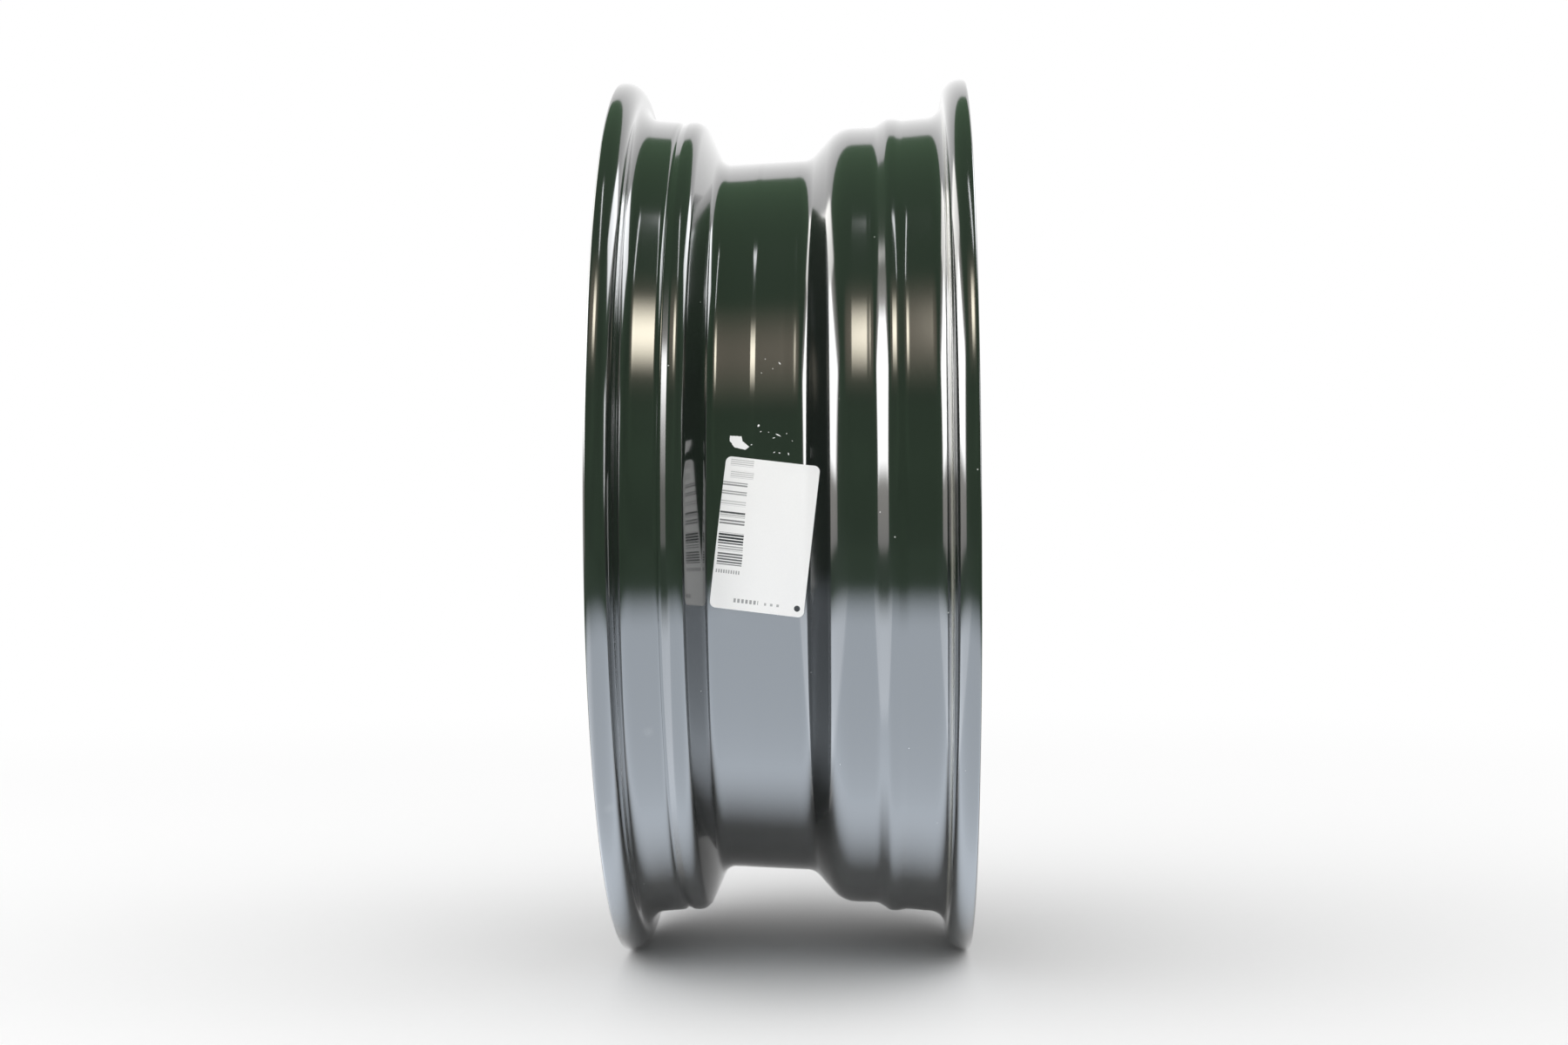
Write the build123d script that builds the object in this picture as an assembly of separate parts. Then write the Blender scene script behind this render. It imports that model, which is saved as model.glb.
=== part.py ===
from build123d import *
from math import atan2, cos, radians, sin, tan
import os

# Steel wheel rim for a small car: rolled hoop, pressed disc, welds and a paper label.
# Millimetres. The origin is the wheel's centre, halfway between the tyre faces of the two
# flanges. +Y is the spin axis and points inboard, -Y is the side seen on a parked car, +Z is up.
# Sections are drawn in the XY plane as (radius, axial place) and spun about Y.

# Rim contour, in the standard J form
rim_width = 139.7
bead_seat_diameter = 380.2
flange_height = 17.3
curl_radius = 8.8
lip_droop = 5.0
lip_straight = 0.4
heel_radius = 6.5
bead_seat_taper = 5.0
hoop_thickness = 2.6

# Outboard safety groove and hump, measured inboard from the outboard flange face
groove_from_flange = 19.2
groove_half_width = 2.5
groove_depth = 2.0
groove_edge_radius = 3.2
groove_floor_radius = 1.2
outboard_hump_height = 0.2
outboard_hump_flat = 0.7
outboard_hump_radius = 6.0

# Drop centre, ledge and inboard hump, with axial places from the wheel's centre
wall_run = 9.3
wall_foot_radius = 6.0
well_depth = 20.4
well_taper = 2.8
well_corner_radius = 8.0
slope_angle = 48.0
ledge_depth = 4.7
ledge_length = 16.6
ledge_corner_radius = 10.0
ledge_end_from_flange = 31.7
ledge_rise = 0.4
ledge_foot_radius = 4.0
hump_rise_length = 6.0
hump_flat_length = 3.3
hump_fall_length = 4.0
inboard_hump_height = 1.4
inboard_hump_radius = 5.0
inboard_hump_foot_radius = 6.0

# Tyre valve hole, through the outboard wall of the drop centre
valve_hole_diameter = 11.3
valve_angle = 144.0

# Pressed disc
disc_thickness = 3.5
inset = 45.0
hub_bore_diameter = 54.1
hub_collar_length = 13.0
hub_collar_fillet = 1.5
mounting_face_diameter = 146.0
hub_valley_radius = 8.0
crown_height = 18.0
crown_inner_diameter = 192.0
crown_outer_diameter = 226.0
crown_radius = 13.0
shoulder_from_skirt = 16.7
shoulder_height = 6.0
shoulder_radius = 30.0
skirt_bend_radius = 9.0
skirt_length = 24.0
skirt_clearance = 0.05

# Bolt holes, each in a pressed boss with a conical seat for the nut
bolt_circle_diameter = 100.0
bolt_count = 4
bolt_hole_diameter = 13.0
bolt_land = 1.5
bolt_first_angle = 45.0
nut_seat_angle = 60.0
nut_seat_diameter = 18.0
boss_top_diameter = 24.0
boss_foot_diameter = 34.0
boss_recess_inner_diameter = 19.0
boss_recess_outer_diameter = 31.0

# Vent slots through the outer slope of the disc
vent_count = 10
vent_circle_diameter = 268.0
vent_length = 34.0
vent_width = 17.0

# Scallops in the skirt's free edge, with a weld on each tab between them
weld_count = 8
scallop_depth = 6.0
scallop_width = 46.0
weld_arc = 22.0
weld_leg = 3.2
weld_crown = 0.5
weld_first_angle = 22.5
weld_clearance = 0.03

# Paper label on the drop centre, and the torn scrap of an older one above it
label_width = 40.0
label_height = 64.0
label_corner = 2.5
label_thickness = 0.15
label_tilt = 7.0
label_from_wall = 24.5
label_drop = 9.2
paper_clearance = 0.03
scrap_from_wall = 14.1
scrap_rise = 30.5
scrap_length = 8.5
scrap_height = 6.2

# Places that follow from the sizes above
half_width = rim_width / 2
seat_radius = bead_seat_diameter / 2
flange_radius = seat_radius + flange_height
seat_slope = tan(radians(bead_seat_taper))
well_slope = tan(radians(well_taper))


def seat_at(axial):
    """Radius of the bead seats' cone at an axial place, on either side."""
    return seat_radius - (half_width - abs(axial)) * seat_slope


# The wall, floor and slope of the drop centre
groove_axial = -half_width + groove_from_flange
groove_edge_turn = atan2(groove_depth + outboard_hump_height, groove_half_width)
hump_turn = atan2(well_depth, wall_run)
hump_start_fillet = groove_edge_radius * tan(groove_edge_turn / 2)
hump_end_fillet = outboard_hump_radius * tan(hump_turn / 2)
outboard_hump_length = hump_start_fillet + outboard_hump_flat + hump_end_fillet
wall_top = groove_axial + groove_half_width + outboard_hump_length
wall_foot = wall_top + wall_run
outboard_hump_top = seat_at(groove_axial) + outboard_hump_height
well_start_radius = outboard_hump_top - well_depth
ledge_end = half_width - ledge_end_from_flange
ledge_start = ledge_end - ledge_length
ledge_radius = seat_radius - ledge_depth


def well_at(axial, depth=0.0):
    """Radius of the drop centre's floor, or of a surface that lies a depth under it."""
    floor = well_start_radius + (axial - wall_foot) * well_slope
    return floor - depth / cos(radians(well_taper))


# The slope meets the floor, which itself rises towards it
slope_height = ledge_radius - ledge_rise - well_at(ledge_start)
slope_run = slope_height / (tan(radians(slope_angle)) - well_slope)
well_end = ledge_start - slope_run
hump_start = ledge_end + hump_rise_length
hump_stop = hump_start + hump_flat_length
hump_foot = hump_stop + hump_fall_length
hump_radius = seat_at(hump_start) + inboard_hump_height

curl_turn = radians(90.0 + lip_droop)
curl_corner = flange_radius - curl_radius + curl_radius * tan(curl_turn / 2)
lip_length = curl_radius * tan(curl_turn / 2) + lip_straight
lip_reach = lip_length * cos(radians(lip_droop))
lip_drop = lip_length * sin(radians(lip_droop))


def mirrored(points):
    """The same (radius, axial) points on the other side of the wheel's centre plane."""
    return [(radius, -axial) for radius, axial in points]


# The hoop's tyre side, from the inboard lip's corner to the bead seat's heel
inboard_flange = [
    (curl_corner - lip_drop, half_width + lip_reach),
    (curl_corner, half_width),
    (seat_radius, half_width),
]
outboard_run = [
    (seat_at(groove_axial - groove_half_width), groove_axial - groove_half_width),
    (seat_at(groove_axial) - groove_depth, groove_axial),
    (outboard_hump_top, groove_axial + groove_half_width),
    (outboard_hump_top, wall_top),
    (well_at(wall_foot), wall_foot),
]
inboard_run = [
    (well_at(well_end), well_end),
    (ledge_radius - ledge_rise, ledge_start),
    (ledge_radius, ledge_end),
    (hump_radius, hump_start),
    (hump_radius, hump_stop),
    (seat_at(hump_foot), hump_foot),
]
hoop_points = mirrored(inboard_flange) + outboard_run + inboard_run + inboard_flange[::-1]
outboard_radii = [groove_edge_radius, groove_floor_radius, groove_edge_radius]
outboard_radii += [outboard_hump_radius, wall_foot_radius]
inboard_radii = [well_corner_radius, ledge_corner_radius, ledge_foot_radius]
inboard_radii += [inboard_hump_radius, inboard_hump_radius, inboard_hump_foot_radius]
flange_radii = [curl_radius, heel_radius]
hoop_radii = flange_radii + outboard_radii + inboard_radii + flange_radii[::-1]


def parallel(points, radii, gap):
    """Corners and fillet radii of the path that runs a gap to the left of a filleted path."""
    corners = [Vector(*point) for point in points]
    ways = [(end - start).normalized() for start, end in zip(corners, corners[1:])]
    sides = [way.rotate(Axis.Z, 90) for way in ways]
    moved = [corners[0] + sides[0] * gap]
    for corner, before, after in zip(corners[1:], sides, sides[1:]):
        moved.append(corner + (before + after) * (gap / (1 + before.dot(after))))
    moved.append(corners[-1] + sides[-1] * gap)
    turns = [before.cross(after).Z for before, after in zip(ways, ways[1:])]
    return moved, [radius - gap if turn > 0 else radius + gap for radius, turn in zip(radii, turns)]


def sheet_section(points, radii, thickness, round_edges=False):
    """Closed section of a bent sheet, from the path of its right-hand face."""
    face_path = FilletPolyline(*points, radius=radii)
    back_points, back_radii = parallel(points, radii, thickness)
    back_path = FilletPolyline(*back_points, radius=back_radii)
    edges = face_path.edges() + back_path.edges()
    for end, outward in ((0, -1), (1, 1)):
        face_end = face_path @ end
        back_end = back_path @ end
        nose = (face_end + back_end) / 2 + (face_path % end) * (outward * thickness / 2)
        edges.append(ThreePointArc(face_end, nose, back_end) if round_edges else Line(face_end, back_end))
    return make_face(edges)


def spun(section, arc=360.0):
    """The section turned about the wheel's axis, by an arc that is centred on +X."""
    return around(-arc / 2) * revolve(section, Axis.Y, -arc)


def around(angle):
    """Turn about the wheel's axis, from +X towards +Z."""
    return Rot(0, -angle, 0)


def evenly(count, first_angle=0.0):
    """Turns that share the circle evenly."""
    return [around(first_angle + 360.0 * step / count) for step in range(count)]


def rim_hoop():
    """Rolled hoop with curled flanges, bead seats, humps, drop centre and valve hole."""
    hoop = spun(sheet_section(hoop_points, hoop_radii, hoop_thickness, round_edges=True))
    wall = Vector(*outboard_run[-1]) - Vector(*outboard_run[-2])
    through_wall = wall.normalized().rotate(Axis.Z, 90)
    middle = Vector(*outboard_run[-2]) + wall / 2 + through_wall * (hoop_thickness / 2)
    drill = Plane(origin=middle, z_dir=through_wall) * Cylinder(valve_hole_diameter / 2, 6 * hoop_thickness)
    return hoop - around(valve_angle) * drill


# The disc's outboard face, from the hub collar's rim to the skirt's free edge
mounting_axial = -inset
face_axial = mounting_axial - disc_thickness
crown_axial = face_axial - crown_height
collar_radius = hub_bore_diameter / 2 + disc_thickness
skirt_edge = wall_foot + skirt_length


def skirt_at(axial):
    """Outer radius of the skirt, which seats in the underside of the drop centre."""
    return well_at(axial, hoop_thickness) - skirt_clearance


disc_points = [
    (collar_radius, mounting_axial - hub_collar_length),
    (collar_radius, face_axial),
    (mounting_face_diameter / 2, face_axial),
    (crown_inner_diameter / 2, crown_axial),
    (crown_outer_diameter / 2, crown_axial),
    (skirt_at(wall_foot) - shoulder_from_skirt, wall_foot - shoulder_height),
    (skirt_at(wall_foot), wall_foot),
    (skirt_at(skirt_edge), skirt_edge),
]
disc_radii = [hub_collar_fillet, hub_valley_radius, crown_radius, crown_radius]
disc_radii += [shoulder_radius, skirt_bend_radius]


def bolt_boss():
    """Pressed boss around a bolt hole, and what is cut from the disc and the boss there."""
    seat_depth = (nut_seat_diameter - bolt_hole_diameter) / 2 / tan(radians(nut_seat_angle / 2))
    top = mounting_axial - bolt_land - seat_depth
    recess = top + disc_thickness
    slope = (boss_foot_diameter - boss_top_diameter) / 2 / (face_axial - top)
    recess_roof = boss_recess_outer_diameter / 2 - slope * (mounting_axial - recess)
    draft = (boss_recess_inner_diameter - nut_seat_diameter) / 4
    raised = Polyline(
        (0, face_axial + disc_thickness / 2),
        (boss_foot_diameter / 2, face_axial + disc_thickness / 2),
        (boss_foot_diameter / 2, face_axial),
        (boss_top_diameter / 2, top),
        (0, top),
        close=True,
    )
    hole = Polyline(
        (0, mounting_axial + disc_thickness),
        (bolt_hole_diameter / 2, mounting_axial + disc_thickness),
        (bolt_hole_diameter / 2, mounting_axial - bolt_land),
        (nut_seat_diameter / 2, top),
        (nut_seat_diameter / 2, top - disc_thickness),
        (0, top - disc_thickness),
        close=True,
    )
    hollow = Polyline(
        (boss_recess_inner_diameter / 2, mounting_axial + disc_thickness),
        (boss_recess_inner_diameter / 2, mounting_axial),
        (boss_recess_inner_diameter / 2 + draft, recess),
        (recess_roof, recess),
        (boss_recess_outer_diameter / 2, mounting_axial),
        (boss_recess_outer_diameter / 2, mounting_axial + disc_thickness),
        close=True,
    )
    return [revolve(make_face(outline), Axis.Y) for outline in (raised, hole, hollow)]


def wheel_disc():
    """Pressed disc: hub collar, mounting face, bolt bosses, crown, vents and skirt."""
    disc = spun(sheet_section(disc_points, disc_radii, disc_thickness))
    raised, hole, hollow = bolt_boss()
    on_bolt_circle = Pos(bolt_circle_diameter / 2, 0, 0)
    bolt_places = [turn * on_bolt_circle for turn in evenly(bolt_count, bolt_first_angle)]
    disc += [place * raised for place in bolt_places]
    disc -= [place * cut for place in bolt_places for cut in (hole, hollow)]
    slot = Plane.XZ * Rot(0, 0, 90) * SlotOverall(vent_length, vent_width)
    vent = Pos(vent_circle_diameter / 2, 0, 0) * extrude(slot, rim_width)
    disc -= [turn * vent for turn in evenly(vent_count)]
    scallop_radius = (scallop_width**2 / 4 + scallop_depth**2) / (2 * scallop_depth)
    scallop_centre = Pos(skirt_at(skirt_edge), skirt_edge - scallop_depth + scallop_radius, 0)
    scallop = scallop_centre * Rot(0, 90, 0) * Cylinder(scallop_radius, 6 * disc_thickness)
    disc -= [turn * scallop for turn in evenly(weld_count)]
    return disc


def disc_welds():
    """Fillet weld beads between the skirt's free edge and the hoop, one on each tab."""
    along = Vector(well_slope, 1).normalized()
    inward = along.rotate(Axis.Z, 90)
    corner = Vector(skirt_at(skirt_edge), skirt_edge) + along * weld_clearance
    hoop_toe = corner + along * weld_leg
    skirt_toe = corner + inward * weld_leg
    belly = (hoop_toe + skirt_toe) / 2 + (along + inward).normalized() * weld_crown
    outline = [Line(corner, hoop_toe), ThreePointArc(hoop_toe, belly, skirt_toe), Line(skirt_toe, corner)]
    bead = make_face(outline)
    return [turn * spun(bead, weld_arc) for turn in evenly(weld_count, weld_first_angle)]


def paper(outline, arc=44.0):
    """A patch of paper on the drop centre, cut to an outline that is drawn in the YZ plane."""
    top_of_slope = Vector(*inboard_run[1])
    top_of_wall = Vector(*outboard_run[-2])
    points = [top_of_wall, Vector(*outboard_run[-1]), Vector(*inboard_run[0]), top_of_slope]
    radii = [wall_foot_radius, well_corner_radius]
    under_points, under_radii = parallel(points, radii, -paper_clearance)
    band = spun(sheet_section(under_points, under_radii, -label_thickness), arc)
    return band & extrude(Plane.YZ.offset(well_start_radius / 2) * outline, well_start_radius)


def paper_label():
    """Rounded rectangular label, a little askew."""
    place = Pos(wall_foot + label_from_wall, -label_drop) * Rot(0, 0, -label_tilt)
    return paper(place * RectangleRounded(label_width, label_height, label_corner))


def label_scrap():
    """Torn corner of an older label."""
    torn = [(-0.5, 0.5), (0.1, 0.45), (0.15, 0.1), (0.5, -0.3), (0.3, -0.5), (-0.25, -0.35), (-0.5, 0.1)]
    corners = [(share * scrap_length, rise * scrap_height) for share, rise in torn]
    return paper(Pos(wall_foot + scrap_from_wall, scrap_rise) * make_face(Polyline(*corners, close=True)))


os.makedirs("parts", exist_ok=True)
export_step(rim_hoop(), "parts/rim_hoop.step")
export_step(wheel_disc(), "parts/wheel_disc.step")
export_step(Compound(children=disc_welds()), "parts/disc_welds.step")
export_step(paper_label(), "parts/paper_label.step")
export_step(label_scrap(), "parts/label_scrap.step")
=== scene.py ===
from functools import partial, reduce
from math import atan2, cos, hypot, pi, radians, sin, sqrt, tan
from random import Random

import bmesh
import bpy
from bpy.props import FloatProperty, IntProperty, PointerProperty, StringProperty
from mathutils import Matrix, Vector


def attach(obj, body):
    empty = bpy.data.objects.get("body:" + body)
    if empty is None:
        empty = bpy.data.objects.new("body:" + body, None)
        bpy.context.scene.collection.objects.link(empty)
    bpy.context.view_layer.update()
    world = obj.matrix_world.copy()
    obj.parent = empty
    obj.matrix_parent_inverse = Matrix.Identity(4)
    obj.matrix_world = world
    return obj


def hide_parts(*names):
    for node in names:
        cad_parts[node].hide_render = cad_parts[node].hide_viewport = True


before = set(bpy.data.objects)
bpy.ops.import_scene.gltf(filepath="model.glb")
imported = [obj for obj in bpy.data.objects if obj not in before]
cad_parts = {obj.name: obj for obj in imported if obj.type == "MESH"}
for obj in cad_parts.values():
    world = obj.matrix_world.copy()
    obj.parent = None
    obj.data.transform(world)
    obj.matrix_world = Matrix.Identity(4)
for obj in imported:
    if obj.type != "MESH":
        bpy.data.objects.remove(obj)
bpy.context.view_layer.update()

bl_info = {
    "name": "Steel Wheel Rim",
    "version": (1, 0, 0),
    "blender": (4, 5, 0),
    "location": "3D Viewport > Sidebar > Wheel Rim",
    "description": "Dresses the packed model of a pressed steel wheel with gloss enamel and a paper label",
    "category": "Add Mesh",
}

# Metres. +Y is the wheel's spin axis and points inboard, +Z is up, and the camera is at +X.
# A section is drawn in the XY plane as (radius, axial place) and spun about Y.
MM = 0.001
AXLE = Vector((0, 1, 0))
HUB = Vector((0, 0, 0))
SECTION_NORMAL = Vector((0, 0, 1))

# Contour of the hoop's tyre side
CURL_RADIUS = 8.8 * MM
LIP_DROOP = radians(5)
LIP_STRAIGHT = 0.4 * MM
HEEL_RADIUS = 7.6 * MM
BEAD_SEAT_TAPER = radians(5)
GROOVE_FROM_FLANGE = 19.2 * MM
GROOVE_HALF_WIDTH = 2.5 * MM
GROOVE_DEPTH = 1.35 * MM
# The groove's lowest line lies this much nearer to the flange than its middle
GROOVE_SKEW = 1.0 * MM
GROOVE_EDGE_RADIUS = 3.2 * MM
GROOVE_FLOOR_RADIUS = 1.2 * MM
OUTBOARD_HUMP_HEIGHT = 0.2 * MM
OUTBOARD_HUMP_FLAT = 1.23 * MM
OUTBOARD_HUMP_RADIUS = 6.0 * MM
WALL_RUN = 9.3 * MM
WALL_FOOT_RADIUS = 6.0 * MM
WELL_TAPER = radians(2.8)
WELL_CORNER_RADIUS = 8.0 * MM
SLOPE_ANGLE = radians(48)
LEDGE_DEPTH = 4.7 * MM
LEDGE_LENGTH = 16.6 * MM
LEDGE_CORNER_RADIUS = 15.0 * MM
LEDGE_END_FROM_FLANGE = 31.7 * MM
LEDGE_RISE = 0.4 * MM
LEDGE_FOOT_RADIUS = 6.0 * MM
HUMP_RISE_LENGTH = 6.0 * MM
HUMP_FLAT_LENGTH = 3.3 * MM
HUMP_FALL_LENGTH = 4.0 * MM
INBOARD_HUMP_HEIGHT = 1.4 * MM
INBOARD_HUMP_RADIUS = 5.0 * MM
INBOARD_HUMP_FOOT_RADIUS = 6.0 * MM
VALVE_ANGLE = radians(144)

# Contour of the pressed disc
MOUNTING_AXIAL = -45.0 * MM
HUB_COLLAR_LENGTH = 13.0 * MM
HUB_COLLAR_FILLET = 1.5 * MM
MOUNTING_FACE_RADIUS = 73.0 * MM
HUB_VALLEY_RADIUS = 8.0 * MM
CROWN_HEIGHT = 18.0 * MM
CROWN_INNER_RADIUS = 96.0 * MM
CROWN_OUTER_RADIUS = 113.0 * MM
CROWN_BEND = 13.0 * MM
SHOULDER_FROM_SKIRT = 16.7 * MM
SHOULDER_HEIGHT = 6.0 * MM
SHOULDER_RADIUS = 30.0 * MM
SKIRT_BEND_RADIUS = 9.0 * MM
SKIRT_LENGTH = 24.0 * MM
SKIRT_CLEARANCE = 0.05 * MM

# Bolt bosses, with a conical seat for the nut and an annular recess behind
BOLT_CIRCLE_RADIUS = 50.0 * MM
BOLT_FIRST_ANGLE = radians(45)
BOLT_LAND = 1.5 * MM
NUT_SEAT_RADIUS = 9.0 * MM
NUT_SEAT_HALF_ANGLE = radians(30)
BOSS_TOP_RADIUS = 12.0 * MM
BOSS_FOOT_RADIUS = 17.0 * MM
BOSS_RECESS_INNER = 9.5 * MM
BOSS_RECESS_OUTER = 15.5 * MM
BOSS_RECESS_EDGE = 2.0 * MM

# Vents, scallops of the skirt's free edge, and the welds between them
VENT_CIRCLE_RADIUS = 134.0 * MM
SCALLOP_DEPTH = 6.0 * MM
SCALLOP_WIDTH = 46.0 * MM
WELD_FIRST_ANGLE = radians(22.5)
WELD_CLEARANCE = 0.03 * MM
WELD_CROWN = 0.5 * MM
WELD_RIPPLE_DEPTH = 0.14 * MM
WELD_TAPER_LENGTH = 5.0 * MM
WELD_END_SHARE = 0.45
WELD_FACE_STEPS = 8
RIPPLE_STEPS = 5

# Paper on the drop centre
PAPER_CLEARANCE = 0.03 * MM
LABEL_CORNER = 2.5 * MM
LABEL_TILT = radians(7)
LABEL_FROM_WALL = 24.5 * MM
LABEL_DROP = 9.2 * MM
SCRAP_FROM_WALL = 14.1 * MM
SCRAP_RISE = 30.5 * MM
SCRAP_LENGTH = 8.5 * MM
SCRAP_HEIGHT = 6.2 * MM
SCRAP_OUTLINE = [(-0.5, 0.5), (0.1, 0.45), (0.15, 0.1), (0.5, -0.3), (0.3, -0.5), (-0.25, -0.35), (-0.5, 0.1)]
LABEL_CELL = 1.6 * MM
SCRAP_CELL = 0.7 * MM
TEAR_SEED = 11
TEAR_SHARE = 0.09

# Flecks of paper and dust near the scrap, in millimetres: axial place, height, length and breadth
FLECKS = [
    (-11.0, 37.7, 1.3, 1.2), (-10.1, 35.1, 0.7, 0.5), (-14.0, 29.6, 0.8, 0.5), (-2.7, 33.6, 3.0, 0.6),
    (-4.6, 32.4, 1.4, 0.4), (-4.4, 26.3, 1.1, 0.5), (-2.2, 26.0, 1.0, 0.6), (1.6, 25.6, 1.2, 0.6),
    (-6.8, 34.8, 0.5, 0.4), (0.8, 34.2, 0.6, 0.3), (3.2, 31.0, 0.5, 0.4), (-2.3, 64.3, 1.6, 0.6),
    (-5.2, 62.0, 0.6, 0.4), (-8.4, 66.2, 0.5, 0.4),
]
FLECK_THICKNESS = 0.06 * MM
FLECK_SHRINK = 0.4

# Faces and arcs of the meshes; the disc has one face length for each straight run of its contour
FULL_TURN = 2 * pi
ARC_STEP = radians(7.5)
EDGE_ARC_STEP = radians(22.5)
HOOP_FACE = 7 * MM
DISC_FACES = [4 * MM, 0.95 * MM, 3 * MM, 4 * MM, 1.6 * MM, 3 * MM, 4 * MM]
# A straight run has a face this long at each end, which keeps its middle flat
GUARD = 0.6 * MM
SHORTEST_RUN = 0.0001 * MM
MERGE_DISTANCE = 0.001 * MM
SHARP_ANGLE = radians(35)
WELD_SHARP = radians(50)
# Punches: faces round each, the vents' length, and the length of the others in sheet thicknesses
VALVE_SEGMENTS = 64
BOLT_SEGMENTS = 48
VENT_SEGMENTS = 62
SCALLOP_SEGMENTS = 160
VENT_PUNCH_LENGTH = 90 * MM
PUNCH_SHEETS = 6
# The solid's own facets stand this much inside its true circle at most
FACET_ROOM = 0.03 * MM


def size(name, description, millimetres):
    """A length that a user may change, given in millimetres and kept in metres."""
    return FloatProperty(name=name, description=description, default=millimetres * MM, unit="LENGTH", min=0)


def colour(name, description, hex_value):
    """An sRGB colour that a user may change."""
    return StringProperty(name=name, description=description, default=hex_value)


class HoopSizes(bpy.types.PropertyGroup):
    """Sizes of the rolled hoop"""

    rim_width: size("Rim width", "Distance between the tyre faces of the two flanges", 139.7)
    bead_seat_diameter: size("Bead seat diameter", "Diameter of the bead seats at the flanges", 380.2)
    flange_height: size("Flange height", "Height of the flanges over the bead seats", 17.3)
    thickness: size("Sheet thickness", "Thickness of the rolled steel strip", 2.6)
    well_depth: size("Well depth", "Depth of the drop centre under the outboard hump", 20.4)
    valve_hole_diameter: size("Valve hole", "Diameter of the tyre valve's hole", 11.3)
    steps: IntProperty(name="Steps", description="Faces round the hoop", default=256, min=32)


class DiscSizes(bpy.types.PropertyGroup):
    """Sizes of the pressed disc"""

    thickness: size("Sheet thickness", "Thickness of the pressed steel sheet", 3.5)
    hub_bore_diameter: size("Hub bore", "Diameter of the bore for the hub's spigot", 54.1)
    bolt_count: IntProperty(name="Bolts", description="Number of bolt holes", default=4, min=3)
    bolt_hole_diameter: size("Bolt hole", "Diameter of each bolt hole", 13.0)
    vent_count: IntProperty(name="Vents", description="Number of vent slots", default=10, min=2)
    vent_length: size("Vent length", "Length of each vent slot along the rim", 34.0)
    vent_width: size("Vent width", "Width of each vent slot", 17.0)
    steps: IntProperty(name="Steps", description="Faces round the disc", default=320, min=32)


class WeldSizes(bpy.types.PropertyGroup):
    """Sizes of the weld beads"""

    count: IntProperty(name="Beads", description="Number of weld beads", default=8, min=1)
    leg: size("Leg", "Leg length of each fillet weld", 3.2)
    arc: FloatProperty(
        name="Arc", description="Arc that each bead covers", default=radians(22), subtype="ANGLE",
    )
    ripple_pitch: size("Ripple pitch", "Distance between the ripples of a bead", 1.9)


class PaperSizes(bpy.types.PropertyGroup):
    """Sizes of the label and of the torn scrap"""

    label_width: size("Label width", "Width of the label across the drop centre", 40.0)
    label_height: size("Label height", "Height of the label round the drop centre", 64.0)
    thickness: size("Paper thickness", "Thickness of the label paper", 0.15)


class Finishes(bpy.types.PropertyGroup):
    """Colours of the wheel and its stage"""

    enamel: colour("Enamel", "Colour of the gloss enamel", "#171A19")
    paper: colour("Paper", "Colour of the label paper", "#F1F1F0")
    print: colour("Print", "Colour of the generic bars on the label", "#2E3133")
    dust: colour("Dust", "Colour of the dust on the enamel", "#B9BBB8")
    # Colour of the painted reflection line in the heel of the inboard flange
    heel_reflection: colour("Wax", "Colour of the dried wax in the heel of the inboard flange", "#C6C5B6")
    floor: colour("Floor", "Colour of the studio floor", "#F7F7F7")


def linear(hex_value):
    """Turns an sRGB hex value into a linear colour with alpha."""
    shares = [int(hex_value[start:start + 2], 16) / 255 for start in (1, 3, 5)]
    return [share / 12.92 if share <= 0.04045 else ((share + 0.055) / 1.055) ** 2.4 for share in shares] + [1]


def add_node(tree, kind, settings=None, **links):
    """Adds a shader node, sets its properties and sockets, and links sockets to nodes or their outputs.

    A math node's operation follows its kind after a space, and a socket without a name of its own is
    given by its number, as in i0.
    """
    kind, _, operation = kind.partition(" ")
    node = tree.nodes.new("ShaderNode" + kind)
    if operation:
        node.operation = operation
    for name, value in (settings or {}).items():
        if isinstance(name, int) or name in node.inputs:
            node.inputs[name].default_value = value
        else:
            setattr(node, name, value)
    for name, source in links.items():
        key = int(name[1:]) if name[0] == "i" and name[1:].isdigit() else name.replace("_", " ")
        output = source.outputs[0] if isinstance(source, bpy.types.Node) else source
        tree.links.new(output, node.inputs[key])
    return node


def new_material(name):
    """Makes an empty node material, and returns it with the function that adds its nodes."""
    material = bpy.data.materials.new(name)
    material.use_nodes = True
    material.node_tree.nodes.clear()
    return material, partial(add_node, material.node_tree)


def parallel(corners, fillets, gap):
    """Corners and fillet radii of the path that runs a gap to the left of a filleted path."""
    ways = [(end - start).normalized() for start, end in zip(corners, corners[1:])]
    sides = [SECTION_NORMAL.cross(way) for way in ways]
    moved = [corners[0] + sides[0] * gap]
    for corner, before, after in zip(corners[1:], sides, sides[1:]):
        moved.append(corner + (before + after) * (gap / (1 + before.dot(after))))
    moved.append(corners[-1] + sides[-1] * gap)
    turns = [before.cross(after).z for before, after in zip(ways, ways[1:])]
    return moved, [fillet - gap if turn > 0 else fillet + gap for fillet, turn in zip(fillets, turns)]


def run_to(mesh, vert, place, pieces=1):
    """Extrudes a vertex to a place in equal pieces and returns the new end."""
    step = (place - vert.co) / pieces
    for _ in range(pieces):
        vert = bmesh.ops.extrude_vert_indiv(mesh, verts=[vert])["verts"][0]
        bmesh.ops.translate(mesh, verts=[vert], vec=step)
    return vert


def guarded_run(mesh, vert, place, step):
    """Extrudes a vertex along a straight run, with a short face at each end that keeps its middle flat."""
    run = place - vert.co
    if run.length < SHORTEST_RUN:
        return vert
    if run.length < 4 * GUARD:
        return run_to(mesh, vert, place)
    guard = run.normalized() * GUARD
    vert = run_to(mesh, vert, vert.co + guard)
    middle = place - guard
    vert = run_to(mesh, vert, middle, max(1, round((middle - vert.co).length / step)))
    return run_to(mesh, vert, place)


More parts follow.
